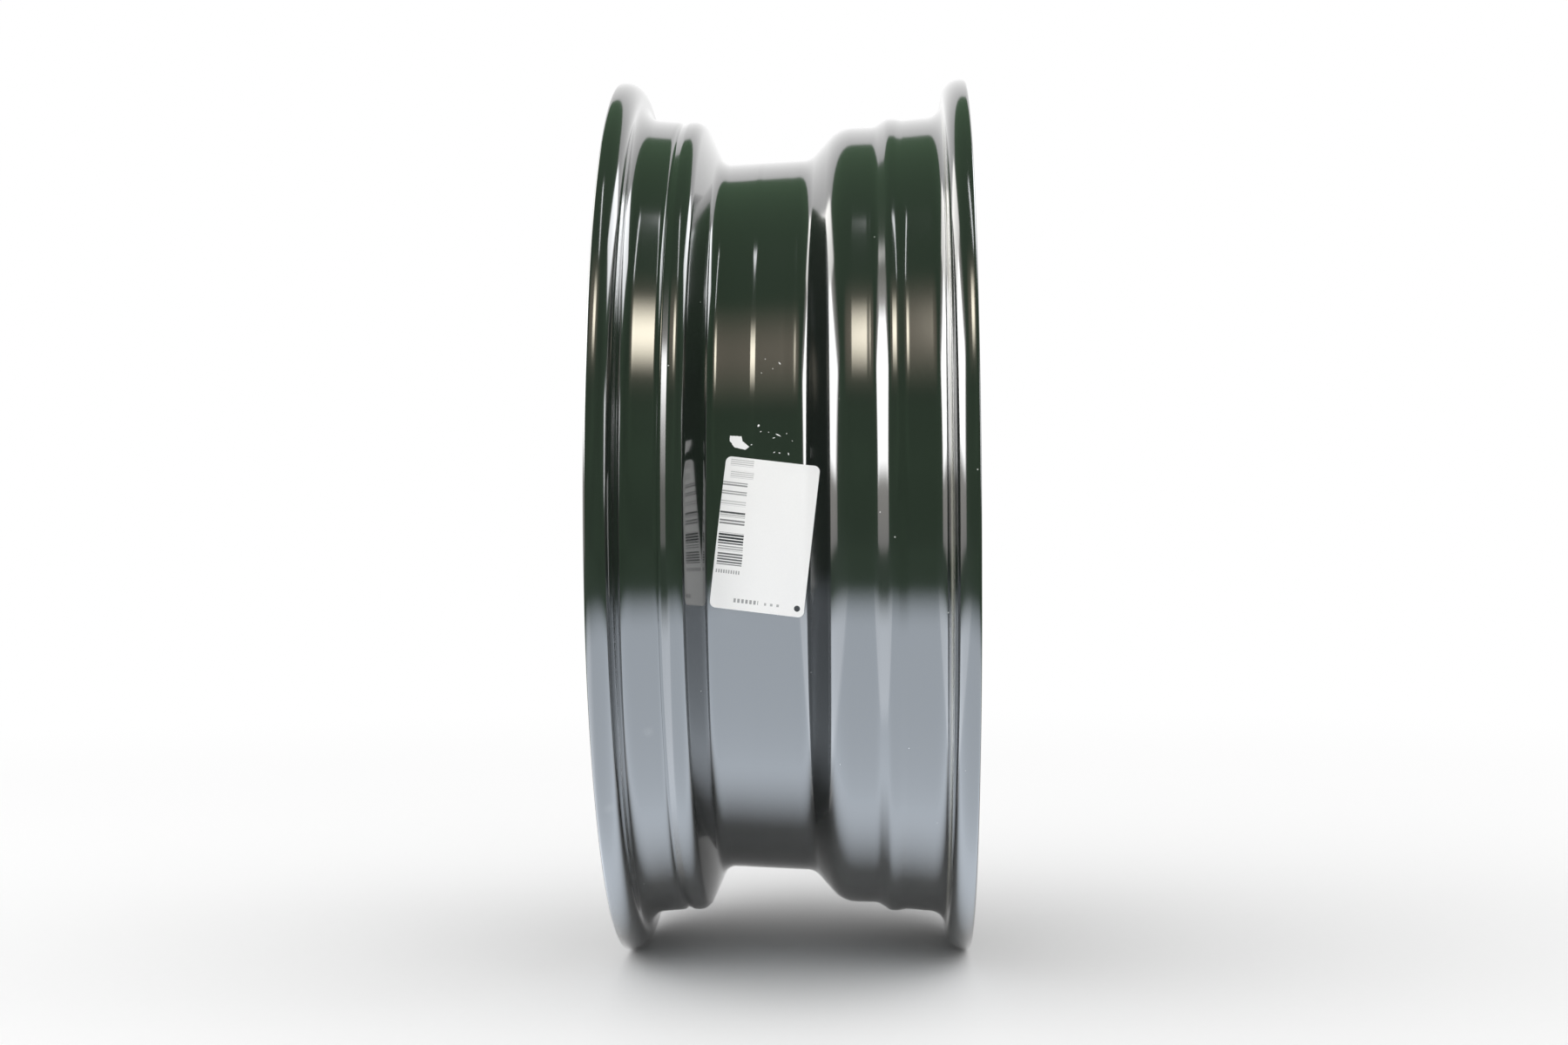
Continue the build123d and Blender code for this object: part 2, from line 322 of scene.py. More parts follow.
def bend_about(mesh, vert, centre, angle, step=ARC_STEP):
    """Spins a vertex about a centre in the section plane and returns the arc's end."""
    pieces = max(2, round(abs(angle) / step))
    made = bmesh.ops.spin(mesh, geom=[vert], cent=centre, axis=SECTION_NORMAL, angle=angle, steps=pieces)
    return [item for item in made["geom_last"] if isinstance(item, bmesh.types.BMVert)][0]


def draw_path(mesh, vert, corners, fillets, steps):
    """Draws straight runs and fillet arcs from a vertex at the first corner, and returns the end."""
    for index, fillet in enumerate(fillets, start=1):
        before = (corners[index] - corners[index - 1]).normalized()
        after = (corners[index + 1] - corners[index]).normalized()
        turn = atan2(before.cross(after).z, before.dot(after))
        start = corners[index] - before * fillet * tan(abs(turn) / 2)
        vert = guarded_run(mesh, vert, start, steps[index - 1])
        side = SECTION_NORMAL.cross(before) * (1 if turn > 0 else -1)
        vert = bend_about(mesh, vert, vert.co + side * fillet, turn)
    return guarded_run(mesh, vert, corners[-1], steps[len(fillets)])


def sheet_outline(mesh, corners, fillets, thickness, steps, round_edges):
    """Draws the closed section of a bent sheet, from the path of its right-hand face."""
    back_corners, back_fillets = parallel(corners, fillets, thickness)
    first = mesh.verts.new(corners[0])
    end = draw_path(mesh, first, corners, fillets, steps)
    if round_edges:
        end = bend_about(mesh, end, (corners[-1] + back_corners[-1]) / 2, pi, EDGE_ARC_STEP)
    else:
        end = run_to(mesh, end, back_corners[-1])
    end = draw_path(mesh, end, back_corners[::-1], back_fillets[::-1], steps[::-1])
    if round_edges:
        bend_about(mesh, end, (corners[0] + back_corners[0]) / 2, pi, EDGE_ARC_STEP)
    else:
        run_to(mesh, end, corners[0])
    bmesh.ops.remove_doubles(mesh, verts=mesh.verts[:], dist=MERGE_DISTANCE)


def point_outwards(mesh):
    """Turns every face of a closed mesh to point outwards."""
    bmesh.ops.recalc_face_normals(mesh, faces=mesh.faces[:])


def spin_round(mesh, steps):
    """Spins everything in the mesh once round the axle and closes it."""
    geometry = mesh.verts[:] + mesh.edges[:]
    bmesh.ops.spin(mesh, geom=geometry, cent=HUB, axis=AXLE, angle=FULL_TURN, steps=steps, use_merge=True)
    point_outwards(mesh)


def move(mesh, place):
    """Puts everything in the mesh in its place, given as a matrix."""
    bmesh.ops.transform(mesh, verts=mesh.verts[:], matrix=place)


def around(angle):
    """Turn about the wheel's axis, from +X towards +Z."""
    return Matrix.Rotation(-angle, 4, "Y")


def seat_at(hoop, axial):
    """Radius of the bead seats' cone at an axial place, on either side."""
    return hoop.bead_seat_diameter / 2 - (hoop.rim_width / 2 - abs(axial)) * tan(BEAD_SEAT_TAPER)


def hoop_places(hoop):
    """Places along the hoop that follow from its sizes."""
    places = {}
    places["groove"] = groove = -hoop.rim_width / 2 + GROOVE_FROM_FLANGE
    groove_turn = atan2(GROOVE_DEPTH + OUTBOARD_HUMP_HEIGHT, GROOVE_HALF_WIDTH + GROOVE_SKEW)
    wall_turn = atan2(hoop.well_depth, WALL_RUN)
    groove_edge = GROOVE_EDGE_RADIUS * tan(groove_turn / 2)
    hump = groove_edge + OUTBOARD_HUMP_FLAT + OUTBOARD_HUMP_RADIUS * tan(wall_turn / 2)
    places["wall_top"] = groove + GROOVE_HALF_WIDTH + hump
    places["wall_foot"] = wall_foot = places["wall_top"] + WALL_RUN
    places["hump_top"] = seat_at(hoop, groove) + OUTBOARD_HUMP_HEIGHT
    places["well_start"] = places["hump_top"] - hoop.well_depth
    places["ledge_end"] = hoop.rim_width / 2 - LEDGE_END_FROM_FLANGE
    places["ledge_start"] = ledge_start = places["ledge_end"] - LEDGE_LENGTH
    places["ledge"] = hoop.bead_seat_diameter / 2 - LEDGE_DEPTH
    floor_below = places["well_start"] + (ledge_start - wall_foot) * tan(WELL_TAPER)
    slope_height = places["ledge"] - LEDGE_RISE - floor_below
    places["well_end"] = ledge_start - slope_height / (tan(SLOPE_ANGLE) - tan(WELL_TAPER))
    return places


def well_at(hoop, axial, depth=0.0):
    """Radius of the drop centre's floor, or of a surface that lies a depth under it."""
    places = hoop_places(hoop)
    return places["well_start"] + (axial - places["wall_foot"]) * tan(WELL_TAPER) - depth / cos(WELL_TAPER)


def well_skin(hoop, axial):
    """Radius of the drop centre at an axial place, with its two corner fillets."""
    places = hoop_places(hoop)
    foot = Vector((well_at(hoop, places["wall_foot"]), places["wall_foot"]))
    end = Vector((well_at(hoop, places["well_end"]), places["well_end"]))
    floor_way = Vector((sin(WELL_TAPER), cos(WELL_TAPER)))
    wall_way = (foot - Vector((places["hump_top"], places["wall_top"]))).normalized()
    slope_way = Vector((sin(SLOPE_ANGLE), cos(SLOPE_ANGLE)))
    for corner, before, after, fillet in (
        (foot, wall_way, floor_way, WALL_FOOT_RADIUS), (end, floor_way, slope_way, WELL_CORNER_RADIUS),
    ):
        turn = before.angle(after)
        reach = fillet * tan(turn / 2)
        start = corner - before * reach
        stop = corner + after * reach
        if start.y < axial < stop.y:
            normal = Vector((before.y, -before.x))
            centre = start + normal * fillet
            return centre.x - sqrt(fillet ** 2 - (axial - centre.y) ** 2)
    if axial > end.y:
        return end.x + (axial - end.y) * tan(SLOPE_ANGLE)
    return well_at(hoop, axial)


def hoop_contour(hoop):
    """Corners and fillets of the hoop's tyre side, from the outboard lip to the inboard one."""
    places = hoop_places(hoop)
    half = hoop.rim_width / 2
    seat = hoop.bead_seat_diameter / 2
    curl_turn = pi / 2 + LIP_DROOP
    curl_corner = seat + hoop.flange_height - FACET_ROOM - CURL_RADIUS + CURL_RADIUS * tan(curl_turn / 2)
    lip = CURL_RADIUS * tan(curl_turn / 2) + LIP_STRAIGHT
    hump_start = places["ledge_end"] + HUMP_RISE_LENGTH
    hump_stop = hump_start + HUMP_FLAT_LENGTH
    hump_foot = hump_stop + HUMP_FALL_LENGTH
    hump_radius = seat_at(hoop, hump_start) + INBOARD_HUMP_HEIGHT
    lip_end = (curl_corner - lip * sin(LIP_DROOP), half + lip * cos(LIP_DROOP))
    flange = [lip_end, (curl_corner, half), (seat, half)]
    groove = places["groove"]
    points = [(radius, -axial) for radius, axial in flange] + [
        (seat_at(hoop, groove - GROOVE_HALF_WIDTH), groove - GROOVE_HALF_WIDTH),
        (seat_at(hoop, groove) - GROOVE_DEPTH, groove - GROOVE_SKEW),
        (places["hump_top"], groove + GROOVE_HALF_WIDTH),
        (places["hump_top"], places["wall_top"]),
        (well_at(hoop, places["wall_foot"]), places["wall_foot"]),
        (well_at(hoop, places["well_end"]), places["well_end"]),
        (places["ledge"] - LEDGE_RISE, places["ledge_start"]),
        (places["ledge"], places["ledge_end"]),
        (hump_radius, hump_start),
        (hump_radius, hump_stop),
        (seat_at(hoop, hump_foot), hump_foot),
    ] + flange[::-1]
    fillets = [CURL_RADIUS, HEEL_RADIUS, GROOVE_EDGE_RADIUS, GROOVE_FLOOR_RADIUS, GROOVE_EDGE_RADIUS]
    fillets += [OUTBOARD_HUMP_RADIUS, WALL_FOOT_RADIUS, WELL_CORNER_RADIUS, LEDGE_CORNER_RADIUS]
    fillets += [LEDGE_FOOT_RADIUS, INBOARD_HUMP_RADIUS, INBOARD_HUMP_RADIUS, INBOARD_HUMP_FOOT_RADIUS]
    fillets += [HEEL_RADIUS, CURL_RADIUS]
    return [Vector((radius, axial, 0)) for radius, axial in points], fillets


def disc_contour(hoop, disc):
    """Corners and fillets of the disc's outboard face, from the hub collar's rim to the skirt's edge."""
    places = hoop_places(hoop)
    face = MOUNTING_AXIAL - disc.thickness
    collar = disc.hub_bore_diameter / 2 + disc.thickness
    edge = places["wall_foot"] + SKIRT_LENGTH
    skirt_top = well_at(hoop, places["wall_foot"], hoop.thickness) - SKIRT_CLEARANCE
    points = [
        (collar, MOUNTING_AXIAL - HUB_COLLAR_LENGTH),
        (collar, face),
        (MOUNTING_FACE_RADIUS, face),
        (CROWN_INNER_RADIUS, face - CROWN_HEIGHT),
        (CROWN_OUTER_RADIUS, face - CROWN_HEIGHT),
        (skirt_top - SHOULDER_FROM_SKIRT, places["wall_foot"] - SHOULDER_HEIGHT),
        (skirt_top, places["wall_foot"]),
        (well_at(hoop, edge, hoop.thickness) - SKIRT_CLEARANCE, edge),
    ]
    fillets = [HUB_COLLAR_FILLET, HUB_VALLEY_RADIUS, CROWN_BEND, CROWN_BEND]
    fillets += [SHOULDER_RADIUS, SKIRT_BEND_RADIUS]
    return [Vector((radius, axial, 0)) for radius, axial in points], fillets


def object_from(name, mesh):
    """Turns a bmesh into an object of the scene, and frees it."""
    data = bpy.data.meshes.new(name)
    mesh.to_mesh(data)
    mesh.free()
    item = bpy.data.objects.new(name, data)
    bpy.context.scene.collection.objects.link(item)
    return item


def add_piece(name, mesh, material, slot_name, *nodes, sharp=SHARP_ANGLE):
    """Turns a bmesh into a finished piece that rides on the wheel and stands for CAD nodes."""
    piece = object_from(name, mesh)
    piece.data.shade_smooth()
    piece.data.set_sharp_from_angle(angle=sharp)
    piece.data.materials.append(material)
    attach(piece, "root")
    if nodes:
        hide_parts(*nodes)


def cut_away(mesh, cutter):
    """Cuts one closed bmesh out of another, frees both and returns the result."""
    blank = object_from("blank", mesh)
    tool = object_from("cutter", cutter)
    boolean = blank.modifiers.new("cut", "BOOLEAN")
    boolean.operation = "DIFFERENCE"
    boolean.solver = "EXACT"
    boolean.object = tool
    result = bmesh.new()
    result.from_object(blank, bpy.context.evaluated_depsgraph_get())
    for item in (blank, tool):
        data = item.data
        bpy.data.objects.remove(item)
        bpy.data.meshes.remove(data)
    if not result.faces:
        raise RuntimeError("the cut left nothing of the piece")
    return result


def punch(radius, length, segments):
    """A round punch along Z, as a closed bmesh."""
    mesh = bmesh.new()
    bmesh.ops.create_cone(
        mesh, cap_ends=True, segments=segments, radius1=radius, radius2=radius, depth=length,
    )
    return mesh


def turned_cutter(cutter, outline, place):
    """Adds a closed solid to a cutter: an outline of (radius, height) about Z, put in its place."""
    part = bmesh.new()
    verts = [part.verts.new((radius, 0, height)) for radius, height in outline]
    edges = [part.edges.new(pair) for pair in zip(verts, verts[1:])]
    bmesh.ops.spin(
        part, geom=verts + edges, cent=HUB, axis=(0, 0, 1), angle=FULL_TURN, steps=BOLT_SEGMENTS,
        use_merge=True,
    )
    join_part(cutter, part, place)


def join_part(mesh, part, place):
    """Moves a part into its place, closes it, and adds it to a mesh."""
    bmesh.ops.remove_doubles(part, verts=part.verts[:], dist=MERGE_DISTANCE)
    move(part, place)
    point_outwards(part)
    data = bpy.data.meshes.new("part")
    part.to_mesh(data)
    part.free()
    mesh.from_mesh(data)
    bpy.data.meshes.remove(data)


def ease(share):
    """Smooth step from 0 to 1."""
    share = min(1.0, max(0.0, share))
    return share * share * (3 - 2 * share)


# Settings of a smooth step from one value to another
SMOOTH = {"interpolation_type": "SMOOTHSTEP"}
# Steps that the forming rolls left, in millimetres: from, to and rise
ROLL_STEPS = [
    (-29.0, -15.6, 0.240), (-15.2, -12.4, -0.240), (-2.6, -1.0, -0.010), (-0.8, 3.0, 0.065),
    (3.2, 5.2, -0.055), (34.6, 36.2, 0.035), (38.8, 44.0, -0.035),
]
# Axial place of the painted reflection line in the inboard flange's heel, and the radius where it starts
HEEL_REFLECTION_AXIAL = 69.5 * MM
HEEL_REFLECTION_INNER_RADIUS = 187 * MM
# Each rub mark is a place and a radius
RUB_MARKS = [(165.7 * MM, -58.3 * MM, -91.1 * MM, 3.4 * MM), (165.6 * MM, -74.7 * MM, -123.3 * MM, 4.0 * MM)]
RUB_SHARE = 0.09


def gloss_enamel(finishes):
    """Black baking enamel on rolled steel, sprayed: a deep gloss skin with faint orange peel and dust, and a
    painted reflection in the heel of the inboard flange.
    """
    material, node = new_material("black_gloss_enamel")
    place = node("TexCoord").outputs["Object"]
    axial = node("SeparateXYZ", Vector=place).outputs["Y"]
    # Orange peel is about 2.5 mm from crest to crest on sprayed steel
    peel = node("TexNoise", {"Scale": 1 / (2.5 * MM), "Detail": 1.5, "Roughness": 0.4}, Vector=place)
    # Rolling leaves waves some 30 mm long, which bend the edges of the reflections
    wave = node("TexNoise", {"Scale": 1 / (30 * MM), "Detail": 1.0, "Roughness": 0.4}, Vector=place)
    slow = node("Bump", {"Strength": 0.10, "Distance": 0.25 * MM}, Height=wave)
    # The forming rolls leave shallow steps that run right round, each from one axial place to another
    steps = []
    for start, stop, rise in ROLL_STEPS:
        step = {**SMOOTH, "From Min": start * MM, "From Max": stop * MM, "To Max": rise * MM}
        steps.append(node("MapRange", step, Value=axial))
    height = reduce(lambda below, step: node("Math ADD", i0=below, i1=step), steps)
    rolled = node("Bump", {"Strength": 1.0, "Distance": 1.0}, Height=height, Normal=slow)
    fine = node("Bump", {"Strength": 0.12, "Distance": 0.02 * MM}, Height=peel, Normal=rolled)
    # Dust lies as single grains about 9 mm apart, and only some cells hold one
    cells = node("TexVoronoi", {"Scale": 1 / (9 * MM)}, Vector=place)
    grain = node("Math LESS_THAN", {1: 0.035}, i0=cells.outputs["Distance"])
    chance = node("SeparateColor", Color=cells.outputs["Color"]).outputs["Red"]
    some = node("Math GREATER_THAN", {1: 0.6}, i0=chance)
    dusty = node("Math MULTIPLY", i0=grain, i1=some)
    shades = {"data_type": "RGBA", 6: linear(finishes.enamel), 7: linear(finishes.dust)}
    body = node("Mix", shades, i0=dusty).outputs[2]
    # Painted reflection: a thin pale line in the heel of the inboard flange, on the tyre's side, stands for
    # the highlight along the heel's fillet
    off = node("Math SUBTRACT", {1: HEEL_REFLECTION_AXIAL}, i0=axial)
    away = node("Math ABSOLUTE", i0=off)
    edge = {**SMOOTH, "From Min": 0.2 * MM, "From Max": 1.0 * MM, "To Min": 0.55, "To Max": 0.0}
    line = node("MapRange", edge, Value=away)
    spoke = node("VectorMath MULTIPLY", {1: (1, 0, 1)}, i0=place)
    reach = node("VectorMath LENGTH", i0=spoke).outputs["Value"]
    outer = node("Math GREATER_THAN", {1: HEEL_REFLECTION_INNER_RADIUS}, i0=reach)
    painted_reflection = node("Math MULTIPLY", i0=line, i1=outer)
    body = node("Mix", {"data_type": "RGBA", 7: linear(finishes.heel_reflection)}, i0=painted_reflection, i6=body).outputs[2]
    # Dull rub marks lie near the bottom
    marks = []
    for *middle, radius in RUB_MARKS:
        off = node("VectorMath DISTANCE", {1: middle}, i0=place).outputs["Value"]
        fade = {**SMOOTH, "From Min": 0.0, "From Max": radius, "To Min": 1.0, "To Max": 0.0}
        marks.append(node("MapRange", fade, Value=off))
    rubbed = reduce(lambda first, mark: node("Math MAXIMUM", i0=first, i1=mark), marks)
    hazed = node("Math MULTIPLY", {1: RUB_SHARE}, i0=rubbed)
    body = node("Mix", {"data_type": "RGBA", 7: linear(finishes.dust)}, i0=hazed, i6=body).outputs[2]
    # The polish of the skin varies a little with how the spray lay
    polish = node("MapRange", {"To Min": 0.10, "To Max": 0.15}, Value=wave)
    skin = node(
        "BsdfPrincipled", {"IOR": 1.8, "Coat Weight": 1.0, "Coat Roughness": 0.09, "Coat IOR": 1.5},
        Base_Color=body, Roughness=polish, Normal=fine, Coat_Normal=fine,
    )
    node("OutputMaterial", Surface=skin)
    return material


def enamel_of(context):
    """The wheel's enamel, made once."""
    return bpy.data.materials.get("black_gloss_enamel") or gloss_enamel(context.scene.wheelrim_finishes)


# Generic marks on the label, in millimetres from its middle: across, up, width, height, ink, and for
# a row of strokes the axis it runs along, the stroke pitch and the inked share of each pitch
LABEL_MARKS = [
    (-12.9, 29.9, 9.8, 3.2, 0.42, 1, 0.85, 0.5), (-12.4, 24.8, 9.8, 3.2, 0.39, 1, 0.85, 0.5),
    (-14.9, 20.4, 10.6, 1.9, 0.7, 1, 1.1, 0.62), (-14.8, 16.9, 10.6, 2.3, 0.63, 1, 0.95, 0.6),
    (-14.7, 12.5, 10.6, 2.2, 0.39, 1, 1, 0.5), (-14.5, 8.5, 10.6, 0.8, 0.95, 1, 40, 1),
    (-14.4, 7.3, 10.6, 1.4, 0.5, 1, 0.9, 0.6),
    (-14.3, 4.5, 10.6, 2.2, 0.77, 1, 1.2, 0.6), (-14, -2.3, 10.6, 4.8, 1, 1, 1.25, 0.66),
    (-13.8, -6.5, 10.6, 2.2, 0.63, 1, 1, 0.55), (-13.6, -10.9, 10.6, 5.2, 0.87, 1, 1.15, 0.62),
    (-13.9, -16.3, 10.2, 1.5, 0.63, 0, 1.05, 0.55), (-4.9, -28, 10.4, 1.7, 0.65, 0, 1.7, 0.6),
    (6.7, -28.2, 7.6, 1.1, 0.55, 0, 2.7, 0.4),
]
LABEL_DOT = (16.9, -28.4, 1.3)


def label_print(node):
    """Adds the nodes that mask the label's dot and bars, and returns the last of them."""
    plane = node("UVMap", {"uv_map": "label_plane"})
    axes = node("SeparateXYZ", Vector=plane).outputs
    dot = node("VectorMath DISTANCE", {1: (*LABEL_DOT[:2], 0)}, i0=plane).outputs["Value"]
    mask = node("Math LESS_THAN", {1: LABEL_DOT[2]}, i0=dot)
    for across, up, width, height, ink, axis, pitch, share in LABEL_MARKS:
        within = [
            node("Math COMPARE", {1: middle, 2: reach / 2}, i0=axes[index])
            for index, (middle, reach) in enumerate(((across, width), (up, height)))
        ]
        bar = node("Math MULTIPLY", i0=within[0], i1=within[1])
        turn = node("Math DIVIDE", {1: pitch}, i0=axes[axis])
        part = node("Math FRACT", i0=turn)
        stroke = node("Math LESS_THAN", {1: share}, i0=part)
        inked = node("Math MULTIPLY", i0=bar, i1=stroke)
        faded = node("Math MULTIPLY", {1: ink}, i0=inked)
        mask = node("Math MAXIMUM", i0=mask, i1=faded)
    return mask


def label_paper(finishes, name, printed):
    """Matt coated label paper: white, with faint fibres, and on the label rows of generic bars."""
    material, node = new_material(name)
    place = node("TexCoord").outputs["Object"]
    # Fibres are some 0.3 mm across, drawn twice as coarse so that they show
    fibre = node("TexNoise", {"Scale": 1 / (0.6 * MM), "Detail": 3.0}, Vector=place)
    shade = node("MapRange", {"To Min": 0.96, "To Max": 1.02}, Value=fibre)
    white = {"data_type": "RGBA", "blend_type": "MULTIPLY", 0: 1.0, 6: linear(finishes.paper)}
    face = node("Mix", white, i7=shade).outputs[2]
    if printed:
        ink = {"data_type": "RGBA", 7: linear(finishes.print)}
        face = node("Mix", ink, i0=label_print(node), i6=face).outputs[2]
    rough = node("Bump", {"Strength": 0.25, "Distance": 0.03 * MM}, Height=fibre)
    coated = {"Roughness": 0.62, "Specular IOR Level": 0.35}
    sheet = node("BsdfPrincipled", coated, Base_Color=face, Normal=rough)
    node("OutputMaterial", Surface=sheet)
    return material


class WHEELRIM_OT_hoop(bpy.types.Operator):
    """Rolled hoop with curled flanges, bead seats, humps, drop centre and valve hole"""

    bl_idname = "wheelrim.hoop"
    bl_label = "Rolled Hoop"

    def execute(self, context):
        hoop = context.scene.wheelrim_hoop
        corners, fillets = hoop_contour(hoop)
        mesh = bmesh.new()
        sheet_outline(mesh, corners, fillets, hoop.thickness, [HOOP_FACE] * (len(corners) - 1), True)
        spin_round(mesh, hoop.steps)
        places = hoop_places(hoop)
        top = Vector((places["hump_top"], places["wall_top"], 0))
        foot = Vector((well_at(hoop, places["wall_foot"]), places["wall_foot"], 0))
        through = SECTION_NORMAL.cross(foot - top).normalized()
        middle = (top + foot) / 2 + through * hoop.thickness / 2
        drill = punch(hoop.valve_hole_diameter / 2, PUNCH_SHEETS * hoop.thickness, VALVE_SEGMENTS)
        lean = through.to_track_quat("Z", "Y").to_matrix().to_4x4()
        move(drill, around(VALVE_ANGLE) @ Matrix.Translation(middle) @ lean)
        mesh = cut_away(mesh, drill)
        add_piece("rolled_hoop", mesh, enamel_of(context), "black_enamel", "rim_hoop")
        return {"FINISHED"}


class WHEELRIM_OT_disc(bpy.types.Operator):
    """Pressed disc with hub collar, bolt bosses, crown, vents and skirt"""

    bl_idname = "wheelrim.disc"
    bl_label = "Pressed Disc"

    def execute(self, context):
        hoop = context.scene.wheelrim_hoop
        disc = context.scene.wheelrim_disc
        corners, fillets = disc_contour(hoop, disc)
        mesh = bmesh.new()
        sheet_outline(mesh, corners, fillets, disc.thickness, DISC_FACES, False)
        spin_round(mesh, disc.steps)
        self.press_bosses(mesh, disc)
        mesh = cut_away(mesh, self.cutters(hoop, disc, corners))
        add_piece("pressed_disc", mesh, enamel_of(context), "black_enamel", "wheel_disc")
        return {"FINISHED"}

    def bolt_places(self, disc):
        """Middles of the bolt holes, in the wheel's plane."""
        steps = range(disc.bolt_count)
        turns = [around(BOLT_FIRST_ANGLE + FULL_TURN * step / disc.bolt_count) for step in steps]
        return [turn @ Vector((BOLT_CIRCLE_RADIUS, 0, 0)) for turn in turns]

    def boss_height(self, disc):
        """Height of a boss over the disc's outboard face."""
        seat_depth = (NUT_SEAT_RADIUS - disc.bolt_hole_diameter / 2) / tan(NUT_SEAT_HALF_ANGLE)
        return BOLT_LAND + seat_depth - disc.thickness

    def press_bosses(self, mesh, disc):
        """Pushes the sheet outboard round each bolt hole, and sinks the ring behind it."""
        height = self.boss_height(disc)
        middle_axial = MOUNTING_AXIAL - disc.thickness / 2
        for place in self.bolt_places(disc):
            for vert in mesh.verts:
                if abs(vert.co.y - middle_axial) > disc.thickness / 2 + MERGE_DISTANCE:
                    continue
                away = hypot(vert.co.x - place.x, vert.co.z - place.z)
                if vert.co.y < middle_axial:
                    share = ease((BOSS_FOOT_RADIUS - away) / (BOSS_FOOT_RADIUS - BOSS_TOP_RADIUS))
                else:
                    share = ease((away - BOSS_RECESS_INNER) / BOSS_RECESS_EDGE)
                    share *= ease((BOSS_RECESS_OUTER - away) / BOSS_RECESS_EDGE)
                vert.co.y -= height * share

    def cutters(self, hoop, disc, corners):
        """Everything that is punched out of the disc, as one cutter."""
        cutter = bmesh.new()
        lay_down = Matrix.Rotation(pi / 2, 4, "X")
        land = MOUNTING_AXIAL - BOLT_LAND
        top = MOUNTING_AXIAL - disc.thickness - self.boss_height(disc)
        clear = disc.thickness * 2
        radius = disc.bolt_hole_diameter / 2
        outline = [
            (0, -MOUNTING_AXIAL - clear), (radius, -MOUNTING_AXIAL - clear), (radius, -land),
            (NUT_SEAT_RADIUS, -top), (NUT_SEAT_RADIUS, clear - top), (0, clear - top),
        ]
        for place in self.bolt_places(disc):
            turned_cutter(cutter, outline, Matrix.Translation(place) @ lay_down)
        for step in range(disc.vent_count):
            slot = punch(disc.vent_width / 2, VENT_PUNCH_LENGTH, VENT_SEGMENTS)
            move(slot, lay_down)
            stretch = (disc.vent_length - disc.vent_width) / 2
            bmesh.ops.rotate(slot, verts=slot.verts[:], cent=HUB, matrix=Matrix.Rotation(pi / 2, 3, "Y"))
            for vert in slot.verts:
                vert.co.z += stretch if vert.co.z > 0 else -stretch
            place = Matrix.Translation((VENT_CIRCLE_RADIUS, MOUNTING_AXIAL, 0))
            join_part(cutter, slot, around(FULL_TURN * step / disc.vent_count) @ place)
        weld_count = bpy.context.scene.wheelrim_welds.count
        bow = (SCALLOP_WIDTH ** 2 / 4 + SCALLOP_DEPTH ** 2) / (2 * SCALLOP_DEPTH)
        centre = corners[-1] + Vector((0, bow - SCALLOP_DEPTH, 0))
        for step in range(weld_count):
            place = Matrix.Translation(centre) @ Matrix.Rotation(pi / 2, 4, "Y")
            scallop = punch(bow, PUNCH_SHEETS * disc.thickness, SCALLOP_SEGMENTS)
            join_part(cutter, scallop, around(FULL_TURN * step / weld_count) @ place)
        return cutter


class WHEELRIM_OT_welds(bpy.types.Operator):
    """Rippled fillet welds between the disc's skirt and the hoop"""

    bl_idname = "wheelrim.welds"
    bl_label = "Weld Beads"

    def execute(self, context):
        hoop = context.scene.wheelrim_hoop
        welds = context.scene.wheelrim_welds
        corners, _ = disc_contour(hoop, context.scene.wheelrim_disc)
        along = (corners[-1] - corners[-2]).normalized()
        inward = SECTION_NORMAL.cross(along)
        root = corners[-1] + along * WELD_CLEARANCE
        hoop_toe = root + along * welds.leg
        skirt_toe = root + inward * welds.leg
        middle = (hoop_toe + skirt_toe) / 2
        out = (along + inward).normalized()
        half_chord = (hoop_toe - skirt_toe).length / 2
        bow = (half_chord ** 2 + WELD_CROWN ** 2) / (2 * WELD_CROWN)
        centre = middle - out * (bow - WELD_CROWN)
        sweep = 2 * atan2(half_chord, bow - WELD_CROWN)
        mesh = bmesh.new()
        steps = round(welds.arc * root.x / welds.ripple_pitch * RIPPLE_STEPS)
        for number in range(welds.count):
            bead = bmesh.new()
            start = bead.verts.new(hoop_toe)
            end = bend_about(bead, start, centre, sweep, sweep / WELD_FACE_STEPS)
            end = run_to(bead, end, root)
            run_to(bead, end, hoop_toe)
            bmesh.ops.remove_doubles(bead, verts=bead.verts[:], dist=MERGE_DISTANCE)
            outline = bmesh.ops.contextual_create(bead, geom=bead.edges[:])["faces"]
            bmesh.ops.spin(
                bead, geom=outline, cent=HUB, axis=AXLE, angle=-welds.arc, steps=steps, use_duplicate=False,
            )
            move(bead, around(-welds.arc / 2))
            for vert in bead.verts:
                self.lay_bead(vert, root, welds)
            join_part(mesh, bead, around(WELD_FIRST_ANGLE + FULL_TURN * number / welds.count))
        add_piece("weld_beads", mesh, enamel_of(context), "black_enamel", "disc_welds", sharp=WELD_SHARP)
        return {"FINISHED"}

    def lay_bead(self, vert, root, welds):
        """Moves a point of a bead towards its root, by the ripples and by the taper of its ends."""
        angle = atan2(vert.co.z, vert.co.x)
        radius = hypot(vert.co.x, vert.co.z)
        flat = Vector((radius, vert.co.y, 0))
        from_end = (welds.arc / 2 - abs(angle)) * root.x
        rise = sqrt(max(0.0, 1 - max(0.0, 1 - from_end / WELD_TAPER_LENGTH) ** 2))
        ends = WELD_END_SHARE + (1 - WELD_END_SHARE) * rise
        phase = (angle * root.x / welds.ripple_pitch) % 1
        on_face = (flat - root).length / welds.leg
        ripple = WELD_RIPPLE_DEPTH * (phase ** 2) * min(1.0, on_face)
        flat = root + (flat - root) * (ends * (1 - ripple / welds.leg))
        vert.co = around(angle) @ flat


